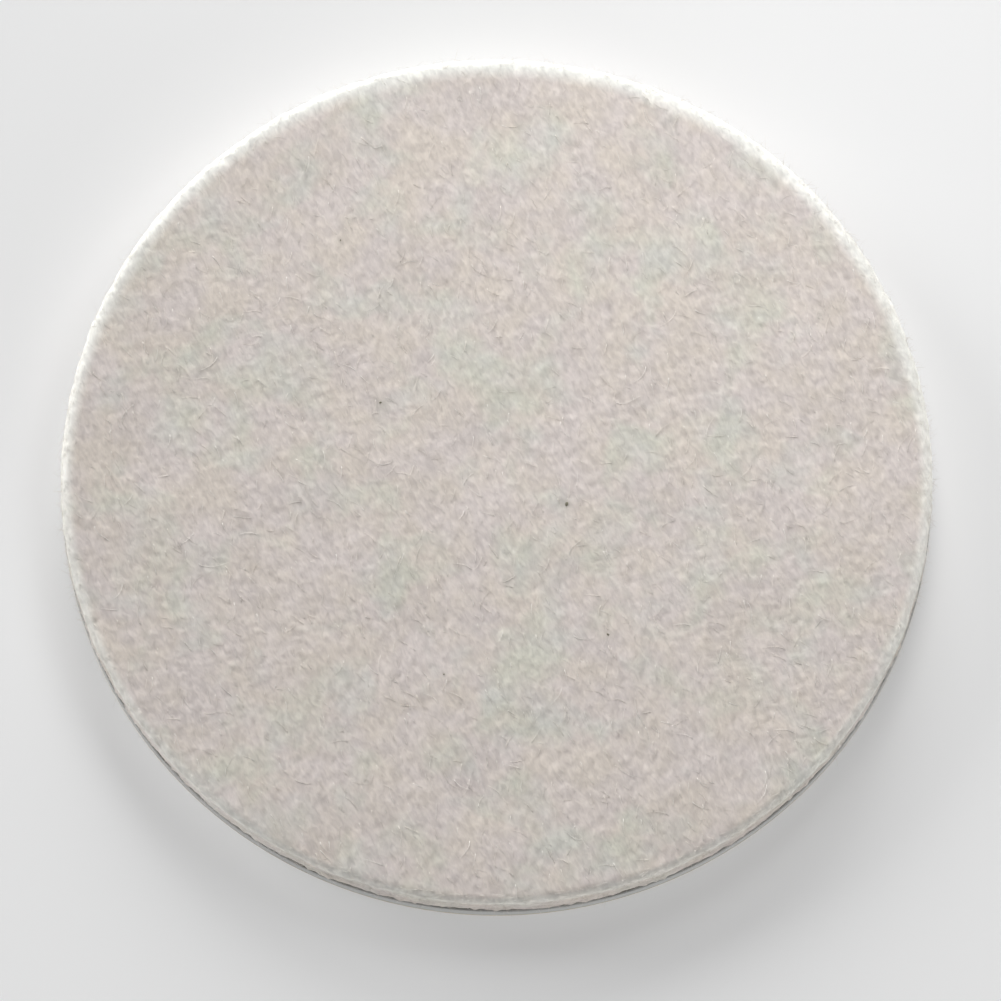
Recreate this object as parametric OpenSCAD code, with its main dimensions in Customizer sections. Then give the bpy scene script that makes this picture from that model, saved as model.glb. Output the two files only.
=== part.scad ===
// Self-adhesive felt polishing wheel for a lapidary flat lap.
// A thick disc of pressed wool felt is glued to a stiff backing disc. Double-coated tape covers
// the back, and a paper release liner in two halves covers the tape until the wheel is used.
// The wheel lies on its liner with the felt up: the origin is at the middle of the liner's
// underside, and +Z runs along the wheel's axis to the felt face. Millimetres.

/* [Wheel] */
// Outside diameter, which the backing, the tape and the liner share
wheel_d = 150; // [75:1:300]
// Thickness of the wheel, from the liner's underside to the felt face
wheel_t = 10; // [8:0.5:16]

/* [Felt] */
// How far the felt's wall stands in from the backing's
felt_inset = 0.2; // [0.1:0.1:1]
// Radius that the felt's upper edge is rubbed to
felt_top_round = 1.5; // [0.5:0.1:2]
// Radius of the felt's lower edge, where it meets the glue
felt_foot_round = 0.7; // [0.2:0.1:1.5]

/* [Backing] */
// Thickness of the backing disc
backing_t = 2.5; // [1.5:0.1:4]
// Radius that breaks the backing's two sharp edges
backing_edge_round = 0.25; // [0.1:0.05:0.5]

/* [Glue, tape and liner] */
// Thickness of the glue between the felt and the backing
glue_t = 0.18; // [0.1:0.02:0.4]
// How far the glue stops short of the backing's wall
glue_inset = 1; // [0.5:0.1:2]
// Thickness of each of the tape's two adhesive coats
tape_coat_t = 0.07; // [0.05:0.01:0.12]
// Thickness of the plastic film inside the tape
tape_film_t = 0.06; // [0.04:0.01:0.1]
// Thickness of the release liner's paper
liner_t = 0.12; // [0.08:0.01:0.2]
// Width of the cut that parts the liner's halves
liner_slit_w = 0.3; // [0.2:0.1:1]

/* [Hidden] */
$fn = 96;
wheel_r = wheel_d / 2;

// Height of each layer's underside, from the liner up
outer_coat_z = liner_t;
film_z = outer_coat_z + tape_coat_t;
inner_coat_z = film_z + tape_film_t;
backing_z = inner_coat_z + tape_coat_t;
glue_z = backing_z + backing_t;
felt_z = glue_z + glue_t;
felt_t = wheel_t - felt_z;

// Half of a disc's section, with its upper and lower edges rounded
module round_edged_section(r, h, top_round, foot_round) {
    translate([0, foot_round]) square([r, h - foot_round - top_round]);
    square([r - foot_round, foot_round]);
    translate([r - foot_round, foot_round]) quarter_round(foot_round, -1);
    translate([0, h - top_round]) square([r - top_round, top_round]);
    translate([r - top_round, h - top_round]) quarter_round(top_round, 1);
}

// A quarter of a circle, above (1) or below (-1) the line y = 0
module quarter_round(r, side) {
    intersection() {
        circle(r);
        translate([0, side < 0 ? -r : 0]) square(r);
    }
}

// A flat layer that covers the whole wheel
module layer(z, t, inset = 0) {
    translate([0, 0, z]) cylinder(h = t, r = wheel_r - inset);
}

module felt_disc() {
    color([0.79, 0.76, 0.73])
        translate([0, 0, felt_z])
            rotate_extrude()
                round_edged_section(wheel_r - felt_inset, felt_t, felt_top_round, felt_foot_round);
}

module laminating_glue() {
    color([0.45, 0.43, 0.38]) layer(glue_z, glue_t, glue_inset);
}

module backing_disc() {
    color([0.62, 0.62, 0.61])
        translate([0, 0, backing_z])
            rotate_extrude()
                round_edged_section(wheel_r, backing_t, backing_edge_round, backing_edge_round);
}

module tape_inner_adhesive() {
    color([0.86, 0.82, 0.68]) layer(inner_coat_z, tape_coat_t);
}

module tape_film() {
    color([0.90, 0.91, 0.92]) layer(film_z, tape_film_t);
}

module tape_outer_adhesive() {
    color([0.86, 0.82, 0.68]) layer(outer_coat_z, tape_coat_t);
}

// One half of the liner: side is -1 for the left half and 1 for the right
module liner_half(side) {
    color([0.78, 0.68, 0.52])
        intersection() {
            layer(0, liner_t);
            translate([side < 0 ? -wheel_r : liner_slit_w / 2, -wheel_r, 0])
                cube([wheel_r - liner_slit_w / 2, wheel_d, liner_t]);
        }
}

module liner_left() { liner_half(-1); }

module liner_right() { liner_half(1); }

felt_disc();
laminating_glue();
backing_disc();
tape_inner_adhesive();
tape_film();
tape_outer_adhesive();
liner_left();
liner_right();
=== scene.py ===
"""A self-adhesive felt polishing wheel, lying felt side up on a pale floor.

The felt, its loose fibres, the glue and the two halves of the release liner are built here. The
backing and the tape are the frame's own nodes with new materials. Everything is in metres.
"""
import math

import bpy
import numpy as np
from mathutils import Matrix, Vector


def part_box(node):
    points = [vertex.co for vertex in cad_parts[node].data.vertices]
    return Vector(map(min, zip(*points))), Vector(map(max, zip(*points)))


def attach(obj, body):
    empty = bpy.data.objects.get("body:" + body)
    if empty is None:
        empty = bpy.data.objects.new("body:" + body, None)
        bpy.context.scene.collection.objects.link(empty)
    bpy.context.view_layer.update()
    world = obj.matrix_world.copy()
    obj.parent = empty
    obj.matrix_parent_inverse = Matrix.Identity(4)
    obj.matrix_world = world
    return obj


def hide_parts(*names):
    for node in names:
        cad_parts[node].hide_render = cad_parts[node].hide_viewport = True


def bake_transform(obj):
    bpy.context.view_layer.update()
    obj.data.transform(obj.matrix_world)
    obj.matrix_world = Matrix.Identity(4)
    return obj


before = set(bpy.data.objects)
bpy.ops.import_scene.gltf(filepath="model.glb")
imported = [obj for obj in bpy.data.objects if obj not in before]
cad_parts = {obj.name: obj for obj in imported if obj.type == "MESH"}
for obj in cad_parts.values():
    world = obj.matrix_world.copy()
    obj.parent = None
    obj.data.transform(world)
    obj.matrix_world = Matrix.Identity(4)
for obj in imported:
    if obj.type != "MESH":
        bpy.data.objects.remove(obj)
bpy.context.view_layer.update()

MM = 0.001
TURN = 2 * math.pi

# The frame's own places
FELT_LOW, FELT_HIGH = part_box("felt_disc")
FELT_R = FELT_HIGH.x
WHEEL_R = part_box("backing_disc")[1].x
GLUE_LOW, GLUE_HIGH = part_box("laminating_glue")

# The felt's shape
TOP_ROUND = 1.0 * MM  # how far the face's edge drops
SHOULDER = 1.6 * MM  # how far in from the wall it starts to drop
FOOT_ROUND = 0.7 * MM
FACE_REST = FELT_HIGH.z - 0.12 * MM  # the face's mean height
FACE_CELLS = 276  # across the face
TOP_ROWS, WALL_ROWS, FOOT_ROWS = 8, 8, 2

# The felt's relief, where each rise is the pattern's standard deviation
TUFT_RISE = 0.03 * MM  # the tufts on the face
WALL_RISE = 0.04 * MM  # how much more the tufts on the wall rise
SWELL_RISE = 0.05 * MM  # the slow swell under the tufts
TILE = 60 * MM  # the patterns repeat after this far
TILE_CELLS = 480
WALL_TILES = 8  # repeats round the wall
LEAN = math.radians(-64)  # the tufts' usual direction on the face, from +X

# The felt's ragged cut above the glue
FOOT_RAG = 0.25 * MM  # how unevenly it rises
FOOT_SPILL = 0.22 * MM  # how far its tufts stand in and out
RAG_REACH = 1.5 * MM  # how far up the wall it still shows
RAG_ROW = 0.3 * TILE  # the line of the wall's pattern that it follows
RAG_LEAST, RAG_MOST = -1.5, 2  # limits of that line's values
RAG_DIP = -0.4  # the least of them that the foot's height follows

# The face's edge, painted paler: a painted highlight, strongest and widest at the rear, where the
# back light falls
EDGE_HIGHLIGHT_FULL, EDGE_HIGHLIGHT_FADE = 1.5 * MM, 2.3 * MM  # at the rear, how far in it is palest, then fades out
EDGE_HIGHLIGHT_CURVE = 1.2  # how fast it fades: 1 is evenly
EDGE_HIGHLIGHT_FRONT = 0.5  # how pale it is at the front, as a share of the rear
EDGE_HIGHLIGHT_NARROW = 0.3  # how wide it is there, as a share of the rear
EDGE_HIGHLIGHT_DROP = 1.5 * MM  # how far down the wall it fades out

# A faint crease that packing left in the felt
CREASE_X, CREASE_Y = 20 * MM, 34 * MM
CREASE_DEPTH, CREASE_WIDTH, CREASE_REACH = 0.07 * MM, 0.5 * MM, 11 * MM

# Smudges in the felt: x, y and radius in millimetres, and strength
SMUDGES = [(12, -5, 0.6, 0.40), (-20, 13, 1.1, 0.22), (19, -28, 0.7, 0.25), (-27, 42, 0.8, 0.16),
           (-9, -35, 0.6, 0.18), (42, 3, 0.6, 0.16)]

# Bits of burr left in the wool: x, y and length in millimetres, and direction in degrees
FLECKS = [(12, -5, 0.85, 70), (-20, 13, 0.5, 15), (19, -28, 0.55, -40), (-27, 42, 0.35, 80),
          (-9, -35, 0.35, 10)]

# The uneven bead of glue
BEAD_POINTS = 900  # round the wheel
BEAD_INNER = 1.4 * MM  # how far in from the wheel's wall the bead starts
BEAD_SETBACK, BEAD_SPREAD = 0.42 * MM, 0.13 * MM  # how far in it ends, and how much that varies
BEAD_RISE, BEAD_UNEVEN = 0.22 * MM, 0.06 * MM  # how far it rises, and how much that varies
BEAD_LAG = 17  # by how many points the rise trails the spread

# The release liner
PEEL_CURL = 9 * MM  # how far from the slit the points stand closer together, where a peeled liner curls
LAST_COLUMN = math.radians(88.8)  # the outermost column of points, where 90 is the wheel's edge

# The stage
STAGE_R, WALL_H, WALL_SIDES = 6.0, 1.8, 64  # the floor's half width, and the wall round it
FLOOR_GLOW, WORLD_GLOW = 0.31, 0.065


# ---------------------------------------------------------------- felt relief

def tuft_tile(per_mm2, length, width, lean, spread, seed):
    """A square height map that tiles: short curved ridges and pits, scattered at random and mostly
    leaning one way. Its values have a standard deviation of 1."""
    tail = 3.2  # how many of its lengths away a ridge still counts
    batch = 2000  # how many ridges are added at a time, to save memory
    rng = np.random.default_rng(seed)
    cell = TILE / TILE_CELLS
    count = int(per_mm2 * (TILE / MM) ** 2)
    centre = rng.uniform(0, TILE_CELLS, (count, 2))
    angle = lean + rng.normal(0, spread, count)
    size = rng.uniform(0.7, 1.4, count)
    strength = rng.normal(0, 1, count)
    curl = rng.normal(0, 0.25, count) / (length / cell)
    reach = int(math.ceil(tail * length / cell))
    step = np.arange(-reach, reach + 1)
    dx, dy = np.meshgrid(step, step, indexing="ij")
    tile = np.zeros(TILE_CELLS * TILE_CELLS)
    for start in range(0, count, batch):
        part = slice(start, start + batch)
        whole = np.floor(centre[part]).astype(int)
        rest = centre[part] - whole
        x = dx[None] - rest[:, 0, None, None]
        y = dy[None] - rest[:, 1, None, None]
        c, s = np.cos(angle[part])[:, None, None], np.sin(angle[part])[:, None, None]
        along, across = x * c + y * s, y * c - x * s
        across = across - curl[part][:, None, None] * along ** 2
        scale = size[part][:, None, None] / cell
        bump = np.exp(-0.5 * ((along / (length * scale)) ** 2 + (across / (width * scale)) ** 2))
        bump *= strength[part][:, None, None]
        column = (whole[:, 0, None, None] + dx[None]) % TILE_CELLS
        row = (whole[:, 1, None, None] + dy[None]) % TILE_CELLS
        index = (column * TILE_CELLS + row).ravel()
        tile += np.bincount(index, bump.ravel(), TILE_CELLS * TILE_CELLS)
    tile = (tile - tile.mean()) / tile.std()
    return tile.reshape(TILE_CELLS, TILE_CELLS)


def sample(tile, x, y):
    """The tile's height at places in metres, with straight blends between its cells."""
    u, v = x / TILE * TILE_CELLS, y / TILE * TILE_CELLS
    iu, iv = np.floor(u).astype(int), np.floor(v).astype(int)
    fu, fv = u - iu, v - iv
    iu, iv = iu % TILE_CELLS, iv % TILE_CELLS
    ju, jv = (iu + 1) % TILE_CELLS, (iv + 1) % TILE_CELLS
    return ((tile[iu, iv] * (1 - fu) + tile[ju, iv] * fu) * (1 - fv)
            + (tile[iu, jv] * (1 - fu) + tile[ju, jv] * fu) * fv)


# ---------------------------------------------------------------- meshes

def mesh_piece(name, points, faces, material, smooth=True):
    """A new object made of these points and faces."""
    mesh = bpy.data.meshes.new(name)
    mesh.from_pydata([tuple(p) for p in points], [], faces)
    mesh.validate()
    piece = bpy.data.objects.new(name, mesh)
    bpy.context.scene.collection.objects.link(piece)
    mesh.materials.append(material)
    mesh.polygons.foreach_set("use_smooth", [smooth] * len(mesh.polygons))
    return piece


def store(piece, name, values):
    """Keeps one number per point for the piece's material."""
    layer = piece.data.attributes.new(name, "FLOAT", "POINT")
    layer.data.foreach_set("value", np.asarray(values, np.float32))


def grid_faces(number):
    """The quads between the points of a numbered grid."""
    a, b = number[:-1, :-1].ravel(), number[1:, :-1].ravel()
    c, d = number[1:, 1:].ravel(), number[:-1, 1:].ravel()
    return np.stack([a, b, c, d], axis=1)


def grid_rim(number):
    """The points round the outside of a numbered grid, in order."""
    return np.concatenate([number[:-1, 0], number[-1, :-1], number[:0:-1, -1], number[0, :0:-1]])


def disc_grid(cells, radius):
    """A square grid pressed into a disc, whose cells are all about the same size: the points, the
    faces and the rim's points in order."""
    step = np.linspace(-1, 1, cells + 1)
    u, v = np.meshgrid(step, step, indexing="ij")
    wide = np.abs(u) >= np.abs(v)
    r = np.where(wide, u, v)
    safe = np.where(r == 0, 1, r)
    angle = np.where(wide, TURN / 8 * v / safe, TURN / 4 - TURN / 8 * u / safe)
    x, y = radius * r * np.cos(angle), radius * r * np.sin(angle)
    number = np.arange((cells + 1) ** 2).reshape(cells + 1, cells + 1)
    return x.ravel(), y.ravel(), grid_faces(number).tolist(), grid_rim(number)


def closed_strip(near, far):
    """The quads between two rings of points that have as many points each."""
    a, b = near, np.roll(near, -1)
    c, d = np.roll(far, -1), far
    return np.stack([b, a, d, c], axis=1).tolist()


# ---------------------------------------------------------------- felt

# The face's tufts, its swell, and the wall's fibres, which lie flat
FINE = tuft_tile(per_mm2=3.2, length=0.36 * MM, width=0.19 * MM, lean=LEAN, spread=0.5, seed=11)
BROAD = tuft_tile(per_mm2=0.02, length=5.0 * MM, width=3.5 * MM, lean=0.0, spread=1.5, seed=12)
CUT = tuft_tile(per_mm2=1.0, length=0.9 * MM, width=0.3 * MM, lean=0.0, spread=0.35, seed=13)


def face_height(x, y):
    """The felt face's height at places on it."""
    crease = np.exp(-((x - CREASE_X) / CREASE_WIDTH) ** 2 - ((y - CREASE_Y) / CREASE_REACH) ** 4)
    return (FACE_REST + TUFT_RISE * sample(FINE, x, y) + SWELL_RISE * sample(BROAD, x, y)
            - CREASE_DEPTH * crease)


def felt_section():
    """The felt's wall from the face's edge down to the foot: radius, height, and the outward
    normal's two parts. The edge is a quarter ellipse, and the foot a quarter circle."""
    section = []
    for k in range(1, TOP_ROWS + 1):
        a = TURN / 4 * (1 - k / TOP_ROWS)
        out, up = math.cos(a) / SHOULDER, math.sin(a) / TOP_ROUND
        size = math.hypot(out, up)
        section.append((FELT_R - SHOULDER * (1 - math.cos(a)),
                        FELT_HIGH.z - TOP_ROUND * (1 - math.sin(a)), out / size, up / size))
    top, foot = FELT_HIGH.z - TOP_ROUND, FELT_LOW.z + FOOT_ROUND
    for k in range(1, WALL_ROWS + 1):
        section.append((FELT_R, top + (foot - top) * k / WALL_ROWS, 1.0, 0.0))
    for k in range(1, FOOT_ROWS + 1):
        a = TURN / 4 * k / FOOT_ROWS
        section.append((FELT_R - FOOT_ROUND * (1 - math.cos(a)),
                        FELT_LOW.z + FOOT_ROUND * (1 - math.sin(a)), math.cos(a), -math.sin(a)))
    return np.array(section)


def make_felt(material):
    """The felt disc: one closed mesh whose face and wall are raised into real tufts."""
    flat_r = FELT_R - SHOULDER
    x, y, faces, rim = disc_grid(FACE_CELLS, flat_r)
    points = np.stack([x, y, face_height(x, y)], axis=1)
    relief = sample(FINE, x, y)

    angle = np.arctan2(y[rim], x[rim])
    around = angle / TURN * WALL_TILES * TILE
    section = felt_section()
    moves = np.diff(section[:, :2], axis=0, prepend=[[flat_r, FELT_HIGH.z]])
    length = np.cumsum(np.hypot(moves[:, 0], moves[:, 1]))
    ring = rim
    sunk = FELT_HIGH.z - FACE_REST
    rag = np.clip(sample(CUT, 2 * around, np.full_like(around, RAG_ROW)), RAG_LEAST, RAG_MOST)
    for row, ((r, z, out, up), down) in enumerate(zip(section, length), start=1):
        on_wall = min(1.0, row / TOP_ROWS)
        px, py = r * np.cos(angle), r * np.sin(angle)
        near_wall = sample(CUT, around, np.full_like(around, -down))
        height = sample(FINE, px, py) * (1 - on_wall) + near_wall * on_wall
        swell = SWELL_RISE * sample(BROAD, px, py) * (1 - on_wall)
        shift = (TUFT_RISE + WALL_RISE * on_wall) * height + swell - sunk * (1 - on_wall)
        ragged = max(0.0, 1 - (z - FELT_LOW.z) / RAG_REACH)
        new_r = r + shift * out + FOOT_SPILL * ragged * rag
        lift = FOOT_RAG * ragged * np.maximum(rag, RAG_DIP) if row < len(section) else 0.0
        new_z = np.maximum(z + shift * up + lift, FELT_LOW.z)
        new = np.stack([new_r * np.cos(angle), new_r * np.sin(angle), new_z], axis=1)
        next_ring = len(points) + np.arange(len(rim))
        points = np.concatenate([points, new])
        relief = np.concatenate([relief, height])
        faces += closed_strip(ring, next_ring)
        ring = next_ring
    middle = len(points)
    points = np.concatenate([points, [[0, 0, FELT_LOW.z]]])
    relief = np.concatenate([relief, [0]])
    faces += [(int(b), int(a), middle) for a, b in zip(ring, np.roll(ring, -1))]

    # Painted highlight: the edge's paler colour stands in for the back light on the rim, so it is
    # strongest at the rear and weaker and narrower at the front.
    from_axis = np.hypot(points[:, 0], points[:, 1])
    rear = 0.5 + 0.5 * points[:, 1] / np.maximum(from_axis, MM)
    wide = EDGE_HIGHLIGHT_NARROW + (1 - EDGE_HIGHLIGHT_NARROW) * rear
    edge = np.clip(1 - (FELT_R - from_axis - EDGE_HIGHLIGHT_FULL * wide) / (EDGE_HIGHLIGHT_FADE * wide), 0, 1)
    edge = edge ** EDGE_HIGHLIGHT_CURVE
    edge *= EDGE_HIGHLIGHT_FRONT + (1 - EDGE_HIGHLIGHT_FRONT) * rear
    edge *= np.clip((points[:, 2] - FACE_REST + TOP_ROUND) / EDGE_HIGHLIGHT_DROP + 1, 0, 1)
    wall = np.clip((FACE_REST - points[:, 2]) / TOP_ROUND, 0, 1)
    stain = np.zeros(len(points))
    for sx, sy, radius, strength in SMUDGES:
        apart = np.hypot(points[:, 0] - sx * MM, points[:, 1] - sy * MM) / (radius * MM)
        stain += strength * np.exp(-0.5 * apart ** 2)

    felt = mesh_piece("felt_pad", points, faces, material)
    store(felt, "tuft", relief)
    store(felt, "edge", edge)
    store(felt, "wall", wall)
    store(felt, "stain", stain)
    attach(felt, "wheel")
    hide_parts("felt_disc")


def strand_piece(name, roots, ways, bends, lengths, radii, materials, rng):
    """Many loose fibres in one mesh. Each starts at its root, sets off along its way, turns towards
    its bend, gets thinner, and has one of the materials."""
    steps, sides = 5, 3
    taper = 0.7  # how much of its width a fibre loses
    odd_way = np.array([0.31, 0.17, 0.93])  # hardly any fibre runs this way
    count = len(roots)
    t = np.linspace(0, 1, steps + 1)[None, :, None]
    path = t * ways[:, None] + 0.5 * t ** 2 * bends[:, None]
    lines = roots[:, None] + lengths[:, None, None] * path
    along = ways[:, None] + t * bends[:, None]
    along /= np.linalg.norm(along, axis=2, keepdims=True)
    side = np.cross(along, odd_way)
    side /= np.linalg.norm(side, axis=2, keepdims=True)
    other = np.cross(along, side)
    thick = radii[:, None, None] * (1 - taper * t)
    turns = np.arange(sides) / sides * TURN
    rings = [lines + thick * (math.cos(a) * side + math.sin(a) * other) for a in turns]
    points = np.stack(rings, axis=2).reshape(-1, 3)
    faces, shades = [], []
    shade = rng.integers(0, len(materials), count)
    for k in range(count):
        first = k * (steps + 1) * sides
        for i in range(steps):
            a, b = first + i * sides, first + (i + 1) * sides
            for j in range(sides):
                faces.append((a + j, a + (j + 1) % sides, b + (j + 1) % sides, b + j))
        last = first + steps * sides
        faces += [(first + 2, first + 1, first), (last, last + 1, last + 2)]
        shades += [shade[k]] * (steps * sides + 2)
    piece = mesh_piece(name, points, faces, materials[0])
    for material in materials[1:]:
        piece.data.materials.append(material)
    piece.data.polygons.foreach_set("material_index", np.array(shades, np.int32))
    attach(piece, "wheel")


def make_face_fibres(materials):
    """Fibres that lie on the face, mostly along the tufts."""
    rng = np.random.default_rng(21)
    count = 2400
    margin = 1.0 * MM  # no root is nearer the wall
    short = 3 * MM  # and roots nearer than this have shorter fibres
    stray, curl = 0.45, 0.8  # spreads, in radians, of the heading and of the turn along a fibre
    settle = 1.9  # at 2, a fibre's tip would come back down to the height of its root
    r = (FELT_R - margin) * np.sqrt(rng.uniform(0, 1, count))
    a = rng.uniform(0, TURN, count)
    x, y = r * np.cos(a), r * np.sin(a)
    drop = np.clip((r - (FELT_R - SHOULDER)) / SHOULDER, 0, 1)
    z = face_height(x, y) - TOP_ROUND * (1 - np.sqrt(1 - drop ** 2))
    heading = LEAN + rng.normal(0, stray, count) + TURN / 2 * rng.integers(0, 2, count)
    turn = rng.normal(0, curl, count)
    rise = rng.uniform(0.02, 0.10, count)
    ways = np.stack([np.cos(heading), np.sin(heading), rise], axis=1)
    bends = np.stack([-turn * np.sin(heading), turn * np.cos(heading), -settle * rise], axis=1)
    lengths = rng.uniform(1.0, 3.2, count) * MM * np.clip((FELT_R - r) / short, 0.2, 1)
    radii = rng.uniform(0.03, 0.055, count) * MM
    roots = np.stack([x, y, z], axis=1)
    strand_piece("felt_fuzz_face", roots, ways, bends, lengths, radii, materials, rng)


def make_wall_fibres(materials):
    """Short fibres that stand off the felt's shoulder and wall."""
    rng = np.random.default_rng(22)
    count = 3600
    sunk = 0.12 * MM  # how deep in the felt a fibre starts
    stand, splay = 0.5, 0.8  # how much it sets off outward, and its spread to the sides
    a = rng.uniform(0, TURN, count)
    spot = rng.uniform(0, 1, count)
    section = felt_section()
    row = spot * (len(section) - FOOT_ROWS - 1)
    low = row.astype(int)
    part = (row - low)[:, None]
    r, z, out, up = (section[low] * (1 - part) + section[low + 1] * part).T
    outward = np.stack([out * np.cos(a), out * np.sin(a), up], axis=1)
    sideways = np.stack([-np.sin(a), np.cos(a), np.zeros(count)], axis=1)
    ways = stand * outward + rng.normal(0, splay, count)[:, None] * sideways
    ways[:, 2] += rng.normal(0, 0.25, count)
    ways /= np.linalg.norm(ways, axis=1, keepdims=True)
    bends = rng.normal(0, 0.6, (count, 3)) - 0.6 * outward
    lengths = rng.uniform(0.6, 2.2, count) * MM
    radii = rng.uniform(0.02, 0.036, count) * MM
    roots = np.stack([r * np.cos(a), r * np.sin(a), z], axis=1) - sunk * outward
    strand_piece("felt_fuzz_wall", roots, ways, bends, lengths, radii, materials, rng)


def make_flecks(material):
    """Bits of burr caught in the wool: flattish, blunt chips, half sunk in the face."""
    rng = np.random.default_rng(23)
    rings, sides = 6, 7
    proud = 0.02 * MM  # how far a chip's middle stands above the felt
    plump, flat = 0.3, 0.5  # its half width by its length, and its height by its width
    points, faces = [], []
    for x, y, length, degrees in FLECKS:
        heading = math.radians(degrees)
        first = len(points)
        middle = Vector((x * MM, y * MM, float(face_height(x * MM, y * MM)) + proud))
        along = Vector((math.cos(heading), math.sin(heading), 0))
        across = Vector((-along.y, along.x, 0))
        for i in range(rings):
            t = (i + 0.5) / rings
            wide = plump * length * MM * math.sin(math.pi * t) ** 0.6
            for j in range(sides):
                b = TURN * j / sides
                rough = rng.uniform(0.8, 1.2)
                point = middle + along * (t - 0.5) * length * MM
                point += across * wide * math.cos(b) * rough
                point.z += flat * wide * math.sin(b) * rough
                points.append(point)
        for i in range(rings - 1):
            a, b = first + i * sides, first + (i + 1) * sides
            for j in range(sides):
                faces.append((a + (j + 1) % sides, a + j, b + j, b + (j + 1) % sides))
        faces.append([first + j for j in range(sides)])
        faces.append([first + (rings - 1) * sides + j for j in reversed(range(sides))])
    flecks = mesh_piece("felt_burrs", points, faces, material)
    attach(flecks, "wheel")


# ---------------------------------------------------------------- glue and liner

def make_glue(material):
    """The glue between felt and backing, with the uneven bead that squeezes out round its edge."""
    rng = np.random.default_rng(31)
    angle = np.arange(BEAD_POINTS) / BEAD_POINTS * TURN
    waves = sum(rng.normal(0, 1 / math.sqrt(k)) * np.cos(k * angle + rng.uniform(0, TURN))
                for k in range(4, 160, 3))
    waves /= waves.std()
    reach = WHEEL_R - BEAD_SETBACK + BEAD_SPREAD * np.clip(waves, -2, 2)
    rise = BEAD_RISE + BEAD_UNEVEN * np.clip(np.roll(waves, BEAD_LAG), -2, 2)
    low, high = GLUE_LOW.z, GLUE_HIGH.z
    bottom, top = np.full(BEAD_POINTS, low), np.full(BEAD_POINTS, high)
    inner = np.full(BEAD_POINTS, WHEEL_R - BEAD_INNER)
    profile = [(inner, bottom),
               (reach - 0.06 * MM, bottom),
               (reach, low + 0.5 * (high - low) + 0.2 * rise),
               (reach - 0.05 * MM, high + 0.6 * rise),
               (reach - 0.22 * MM, high + rise),
               (inner, top)]
    points = [[0, 0, low], [0, 0, high]]
    rings = []
    for r, z in profile:
        rings.append(len(points) + np.arange(BEAD_POINTS))
        points += np.stack([r * np.cos(angle), r * np.sin(angle), z], axis=1).tolist()
    faces = []
    for near, far in zip(rings, rings[1:]):
        faces += closed_strip(far, near)
    faces += [(0, int(b), int(a)) for a, b in zip(rings[0], np.roll(rings[0], -1))]
    faces += [(1, int(a), int(b)) for a, b in zip(rings[-1], np.roll(rings[-1], -1))]
    glue = mesh_piece("glue_bead", points, faces, material)
    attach(glue, "wheel")
    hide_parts("laminating_glue")


def make_liner(side, paper, coated):
    """One half of the release liner: a thin flat half-disc, with its points packed closer near the
    slit, where a peeled liner curls."""
    name = "liner_right" if side > 0 else "liner_left"
    low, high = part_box(name)
    slit = low.x if side > 0 else -high.x
    radius = high.x if side > 0 else -low.x
    bend_columns, far_columns, rows = 28, 34, 56
    bend = np.linspace(slit, slit + PEEL_CURL, bend_columns + 1)
    angle = np.linspace(math.asin(bend[-1] / radius), LAST_COLUMN, far_columns + 1)[1:]
    x = np.concatenate([bend, radius * np.sin(angle)])
    reach = np.sqrt(radius ** 2 - x ** 2)
    y = reach[:, None] * np.sin(np.linspace(-TURN / 4, TURN / 4, rows + 1))[None]
    grid_x = np.repeat(x[:, None], rows + 1, axis=1)
    points = []
    for z in (low.z, high.z):
        points += np.stack([side * grid_x, y, np.full_like(y, z)], axis=2).reshape(-1, 3).tolist()
    number = np.arange(len(points)).reshape(2, len(x), rows + 1)
    top, bottom = grid_faces(number[1]).tolist(), grid_faces(number[0])[:, ::-1].tolist()
    wall = closed_strip(grid_rim(number[1]), grid_rim(number[0]))
    faces = top + bottom + wall
    if side < 0:
        faces = [face[::-1] for face in faces]
    liner = mesh_piece(name + "_sheet", points, faces, paper)
    liner.data.materials.append(coated)
    index = np.zeros(len(faces), np.int32)
    index[:len(top)] = 1
    liner.data.polygons.foreach_set("material_index", index)
    liner.data.polygons.foreach_set("use_smooth", [False] * len(faces))
    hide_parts(name)
    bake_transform(liner)


# ---------------------------------------------------------------- materials

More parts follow.
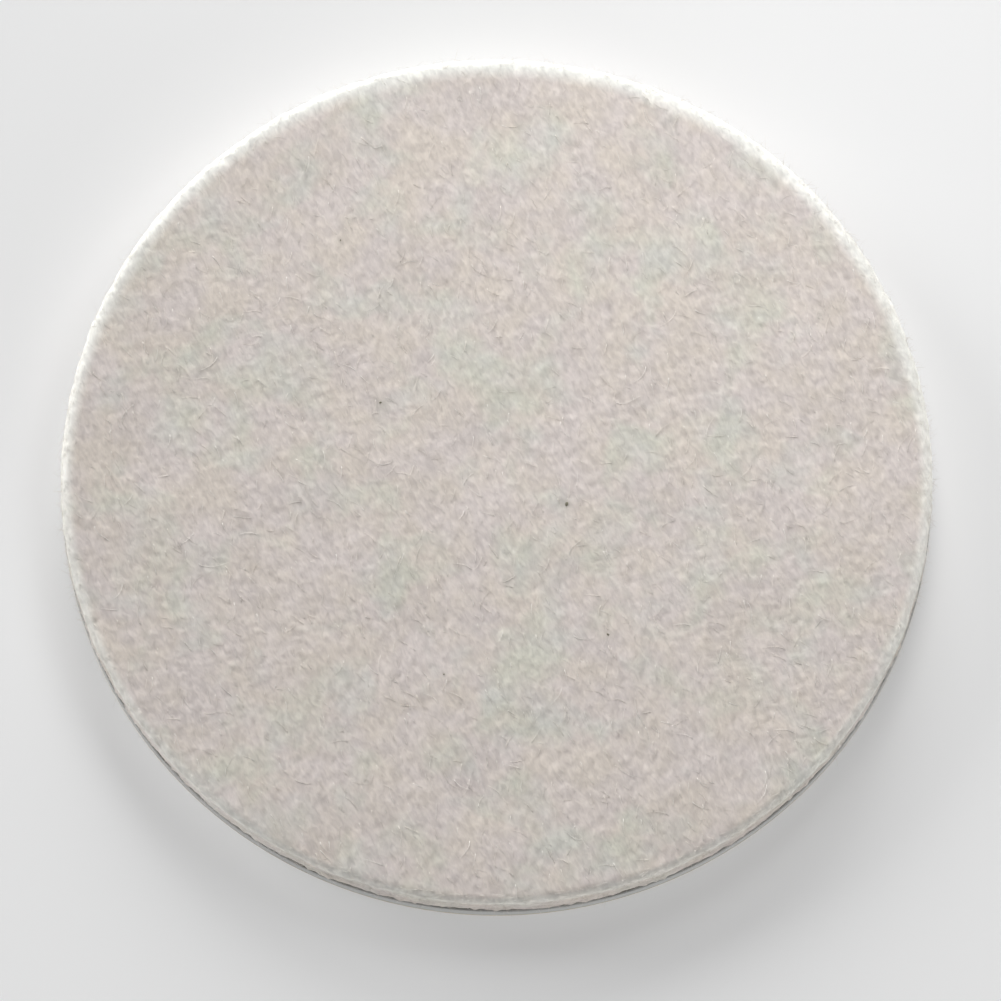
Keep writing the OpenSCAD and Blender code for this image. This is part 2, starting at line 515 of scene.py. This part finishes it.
class Nodes:
    """A short way to write a node material: each call adds a node, links it and returns its
    output."""

    def __init__(self, name):
        self.material = bpy.data.materials.new(name)
        self.material.use_nodes = True
        self.tree = self.material.node_tree
        self.shader = self.tree.nodes["Principled BSDF"]

    def add(self, kind, out=0, options=None, **inputs):
        """An output of a new node. An input called i0, i1 and so on is the socket with that
        number."""
        node = self.tree.nodes.new("ShaderNode" + kind)
        for key, value in (options or {}).items():
            setattr(node, key, value)
        for key, value in inputs.items():
            numbered = key[0] == "i" and key[1:].isdigit()
            self.feed(node.inputs[int(key[1:]) if numbered else key], value)
        return node.outputs[out]

    def feed(self, socket, value):
        """Links the socket to an output, or sets its value."""
        if isinstance(value, bpy.types.NodeSocket):
            self.tree.links.new(value, socket)
        else:
            socket.default_value = value

    def place(self, stretch=(1, 1, 1), turn=0.0):
        """The object's own coordinates in metres. A pattern drawn with them is stretched along its
        own axes, which are turned about Z."""
        spot = self.add("TexCoord", out=3)
        return self.add("Mapping", options={"vector_type": "TEXTURE"}, Vector=spot, Scale=stretch,
                        Rotation=(0, 0, turn))

    def kept(self, name):
        """A number that the mesh keeps for each of its points."""
        return self.add("Attribute", out=2, options={"attribute_name": name})

    def noise(self, where, scale, detail=3.0, rough=0.5, distort=0.0):
        return self.add("TexNoise", Vector=where, Scale=scale, Detail=detail, Roughness=rough,
                        Distortion=distort)

    def ramp(self, value, low, high, to_low=0.0, to_high=1.0):
        """The value moved from the range low..high to the range to_low..to_high, and kept in it."""
        return self.add("MapRange", i0=value, i1=low, i2=high, i3=to_low, i4=to_high)

    def mix(self, share, a, b, blend="MIX"):
        return self.add("Mix", out=2, options={"data_type": "RGBA", "blend_type": blend},
                        i0=share, i6=a, i7=b)

    def tint(self, color, share, low, high):
        """The colour times low where share is 0 and times high where it is 1."""
        return self.mix(1.0, color, self.mix(share, low, high), "MULTIPLY")

    def math(self, kind, a, b=0.0):
        return self.add("Math", options={"operation": kind}, i0=a, i1=b)

    def bump(self, height, strength, distance):
        return self.add("Bump", Height=height, Strength=strength, Distance=distance)

    def set(self, **sockets):
        """Feeds the shader's sockets, and returns the finished material."""
        names = {"color": "Base Color", "roughness": "Roughness", "normal": "Normal",
                 "sheen": "Sheen Weight", "sheen_roughness": "Sheen Roughness",
                 "sheen_tint": "Sheen Tint", "specular": "Specular IOR Level",
                 "glow_color": "Emission Color", "glow": "Emission Strength"}
        for key, value in sockets.items():
            self.feed(self.shader.inputs[names[key]], value)
        return self.material


def grey(value):
    """A colour with no tint."""
    return (value, value, value, 1)


def felt_material():
    """Pressed wool: cloudy tints, a painted highlight along the edge, painted shade in the pits
    between the tufts, a greyer wall with painted shade, and tufts and fibres in four sizes. The
    mesh keeps how high its tufts are, and where its edge, wall and smudges are."""
    n = Nodes("felt")
    spot = n.place()
    pink, green = (0.690, 0.626, 0.585, 1), (0.650, 0.640, 0.580, 1)
    patches = n.noise(spot, scale=85, detail=2.5, rough=0.6, distort=0.3)
    color = n.mix(n.ramp(patches, 0.49, 0.69), pink, green)
    warmth = n.noise(spot, scale=110, detail=2.5, rough=0.6)
    color = n.tint(color, n.ramp(warmth, 0.38, 0.62), (1, 1, 1.022, 1), (1.005, 1, 0.965, 1))
    # Painted highlight: near white along the face's edge, strongest at the rear.
    color = n.mix(n.kept("edge"), color, (0.97, 0.97, 0.92, 1))

    # Painted shade: darker in the pits between the tufts and paler on their crests, following the
    # tufts' height.
    color = n.tint(color, n.ramp(n.kept("tuft"), -2.5, 2.5), (0.945, 0.94, 0.94, 1), grey(1.05))
    along_lock = n.place(stretch=(1.5, 1, 1), turn=LEAN - 0.3)
    lock = n.noise(along_lock, scale=860, detail=1.5, distort=0.7)
    color = n.tint(color, n.ramp(lock, 0.3, 0.7), grey(0.95), grey(1.05))
    along_wisp = n.place(stretch=(2.0, 1, 1), turn=LEAN + 0.1)
    wisp = n.noise(along_wisp, scale=1170, detail=0.5, distort=0.8)
    color = n.tint(color, n.ramp(wisp, 0.3, 0.7), grey(0.92), (1.08, 1.08, 1.075, 1))
    along_strand = n.place(stretch=(4, 1, 1), turn=LEAN - 0.1)
    strand = n.noise(along_strand, scale=1200, detail=1.0, distort=1.2)
    line = n.ramp(n.math("ABSOLUTE", n.math("SUBTRACT", strand, 0.5)), 0.0, 0.07, 1.0, 0.0)
    color = n.tint(color, line, grey(1), grey(1.045))

    # The cut wall: darker than the face all round, partly the cut felt's own greyer fibre layers
    # and partly painted shade.
    layers = n.noise(n.place(stretch=(9, 9, 1)), scale=2600, rough=0.6)
    cut_wall_and_shade = n.mix(n.ramp(layers, 0.35, 0.65), (0.75, 0.745, 0.73, 1), (0.93, 0.93, 0.92, 1))
    color = n.tint(color, n.kept("wall"), grey(1), cut_wall_and_shade)
    color = n.mix(n.kept("stain"), color, (0.34, 0.33, 0.28, 1))

    height = n.math("ADD", n.math("ADD", lock, wisp), n.math("MULTIPLY", line, 0.15))
    return n.set(color=color, roughness=1.0, specular=0.12, sheen=0.35, sheen_roughness=0.55,
                 sheen_tint=(1, 0.985, 0.965, 1), normal=n.bump(height, 0.35, 0.10 * MM))


def fibre_material(shade, color):
    n = Nodes("felt_fibre_" + shade)
    return n.set(color=color, roughness=0.8, specular=0.2, sheen=0.3, sheen_roughness=0.5)


def burr_material():
    n = Nodes("burr")
    mottle = n.ramp(n.noise(n.place(), scale=2600), 0.35, 0.65)
    color = n.mix(mottle, (0.13, 0.125, 0.09, 1), (0.24, 0.23, 0.16, 1))
    return n.set(color=color, roughness=0.75)


def glue_material():
    n = Nodes("glue")
    spot = n.place()
    color = n.mix(n.noise(spot, scale=900), (0.10, 0.092, 0.08, 1), (0.20, 0.185, 0.16, 1))
    return n.set(color=color, roughness=n.ramp(n.noise(spot, scale=500), 0.3, 0.7, 0.45, 0.7),
                 normal=n.bump(n.noise(spot, scale=1500), 0.4, 0.05 * MM))


def backing_material():
    n = Nodes("backing")
    spot = n.place()
    mottle = n.noise(spot, scale=240, detail=4.0, rough=0.6)
    color = n.mix(mottle, (0.43, 0.43, 0.42, 1), (0.49, 0.49, 0.48, 1))
    grain = n.noise(spot, scale=4200, detail=2.0)
    lathe = n.noise(n.place(stretch=(50, 50, 1)), scale=9000, detail=2.0)
    height = n.math("ADD", n.math("MULTIPLY", grain, 0.5), lathe)
    return n.set(color=color, roughness=n.ramp(mottle, 0.3, 0.7, 0.42, 0.6),
                 normal=n.bump(height, 0.3, 0.03 * MM))


def adhesive_material():
    n = Nodes("tape_adhesive")
    spot = n.place()
    color = n.mix(n.noise(spot, scale=130), (0.50, 0.46, 0.34, 1), (0.58, 0.54, 0.42, 1))
    return n.set(color=color, roughness=n.ramp(n.noise(spot, scale=700), 0.3, 0.7, 0.12, 0.3),
                 normal=n.bump(n.noise(spot, scale=1300, detail=2.0), 0.25, 0.05 * MM))


def film_material():
    n = Nodes("tape_film")
    spot = n.place()
    color = n.mix(n.noise(spot, scale=90), (0.66, 0.68, 0.69, 1), (0.74, 0.76, 0.77, 1))
    return n.set(color=color, roughness=n.ramp(n.noise(spot, scale=300), 0.3, 0.7, 0.1, 0.2))


def paper_material(name, pale, dark, roughness):
    """Kraft paper: cloudy, with fine fibres. The coated side has its own tint and gloss."""
    n = Nodes(name)
    spot = n.place()
    cloud = n.noise(spot, scale=160, detail=5.0, rough=0.65)
    color = n.mix(n.ramp(cloud, 0.3, 0.7), dark, pale)
    fibre = n.noise(n.place(stretch=(1, 5, 1)), scale=4000, rough=0.7)
    darkest = tuple(0.75 * c for c in dark[:3]) + (1,)
    color = n.mix(n.ramp(fibre, 0.5, 0.75, 0, 0.3), color, darkest)
    return n.set(color=color, roughness=n.ramp(cloud, 0.3, 0.7, roughness, roughness + 0.08),
                 normal=n.bump(fibre, 0.25, 0.02 * MM))


# ---------------------------------------------------------------- stage

def aim_lamp(name, light, place):
    """Puts a lamp at the place, pointing at the wheel, where the camera can't see it."""
    lamp = bpy.data.objects.new(name, light)
    bpy.context.scene.collection.objects.link(lamp)
    lamp.location = place
    lamp.rotation_euler = (-Vector(place)).to_track_quat("-Z", "Y").to_euler()
    lamp.visible_camera = False


def area_light(name, place, size, power):
    light = bpy.data.lights.new(name, "AREA")
    light.shape, light.size, light.energy = "DISK", size, power
    aim_lamp(name, light, place)


def sun_light(name, azimuth, elevation, strength, spread):
    """Even light from far away: where it comes from, how strong it is and how wide its source
    looks, in degrees."""
    light = bpy.data.lights.new(name, "SUN")
    light.energy, light.angle = strength, math.radians(spread)
    a, e = math.radians(azimuth), math.radians(elevation)
    aim_lamp(name, light, (math.cos(e) * math.cos(a), math.cos(e) * math.sin(a), math.sin(e)))


def make_stage():
    """A wide pale floor that glows faintly, a low pale wall round it that casts no shadow, and the
    lights."""
    half, wall_r = STAGE_R, 0.95 * STAGE_R
    floor_look = Nodes("floor").set(color=grey(0.60), roughness=0.9, specular=0.1,
                                    glow_color=grey(1), glow=FLOOR_GLOW)
    corners = [(-half, -half, 0), (half, -half, 0), (half, half, 0), (-half, half, 0)]
    mesh_piece("floor", corners, [(0, 1, 2, 3)], floor_look, smooth=False)

    wall_look = Nodes("backdrop").set(color=grey(0), glow_color=(0.84, 0.85, 0.85, 1), glow=1.0)
    turns = [TURN * k / WALL_SIDES for k in range(WALL_SIDES)]
    ring = [(wall_r * math.cos(a), wall_r * math.sin(a), z) for z in (0, WALL_H) for a in turns]
    after = [(k + 1) % WALL_SIDES for k in range(WALL_SIDES)]
    faces = [(k, after[k], WALL_SIDES + after[k], WALL_SIDES + k) for k in range(WALL_SIDES)]
    backdrop = mesh_piece("backdrop", ring, faces, wall_look, smooth=False)
    backdrop.visible_shadow = False

    world = bpy.data.worlds.new("studio")
    bpy.context.scene.world = world
    world.use_nodes = True
    background = world.node_tree.nodes["Background"]
    background.inputs["Color"].default_value = (0.97, 0.985, 1.0, 1)
    background.inputs["Strength"].default_value = WORLD_GLOW
    area_light("near_rear", place=(0.06, 0.115, 0.20), size=0.12, power=0.165)
    sun_light("rear", azimuth=90, elevation=18, strength=2.7, spread=30)
    sun_light("left", azimuth=150, elevation=15, strength=2.0, spread=30)
    sun_light("front", azimuth=303, elevation=9, strength=1.2, spread=30)
    bpy.context.scene.view_settings.view_transform = "Standard"


def make_camera():
    """A long lens that looks steeply down on the wheel from the front."""
    elevation = math.radians(75.75)
    lens, away = 335.0, 1.603
    aim = Vector((0.66 * MM, -3.15 * MM, 5 * MM))
    data = bpy.data.cameras.new("camera")
    data.lens = lens
    camera = bpy.data.objects.new("camera", data)
    bpy.context.scene.collection.objects.link(camera)
    camera.location = aim + away * Vector((0, -math.cos(elevation), math.sin(elevation)))
    camera.rotation_euler = (TURN / 4 - elevation, 0, 0)
    bpy.context.scene.camera = camera


def dress(node, material):
    """Gives a frame node its finished material."""
    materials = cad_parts[node].data.materials
    materials.clear()
    materials.append(material)


make_camera()
make_stage()
make_felt(felt_material())
fibres = [fibre_material("white", (0.81, 0.78, 0.74, 1)),
          fibre_material("cream", (0.78, 0.73, 0.67, 1)),
          fibre_material("pale", (0.72, 0.68, 0.63, 1))]
make_face_fibres(fibres)
make_wall_fibres(fibres)
make_flecks(burr_material())
make_glue(glue_material())
dress("backing_disc", backing_material())
adhesive = adhesive_material()
dress("tape_inner_adhesive", adhesive)
dress("tape_outer_adhesive", adhesive)
dress("tape_film", film_material())
paper = paper_material("liner_paper", pale=(0.60, 0.46, 0.28, 1), dark=(0.50, 0.37, 0.21, 1),
                       roughness=0.55)
coated = paper_material("liner_silicone_side", pale=(0.64, 0.52, 0.34, 1),
                        dark=(0.58, 0.46, 0.29, 1), roughness=0.36)
make_liner(1, paper, coated)
make_liner(-1, paper, coated)
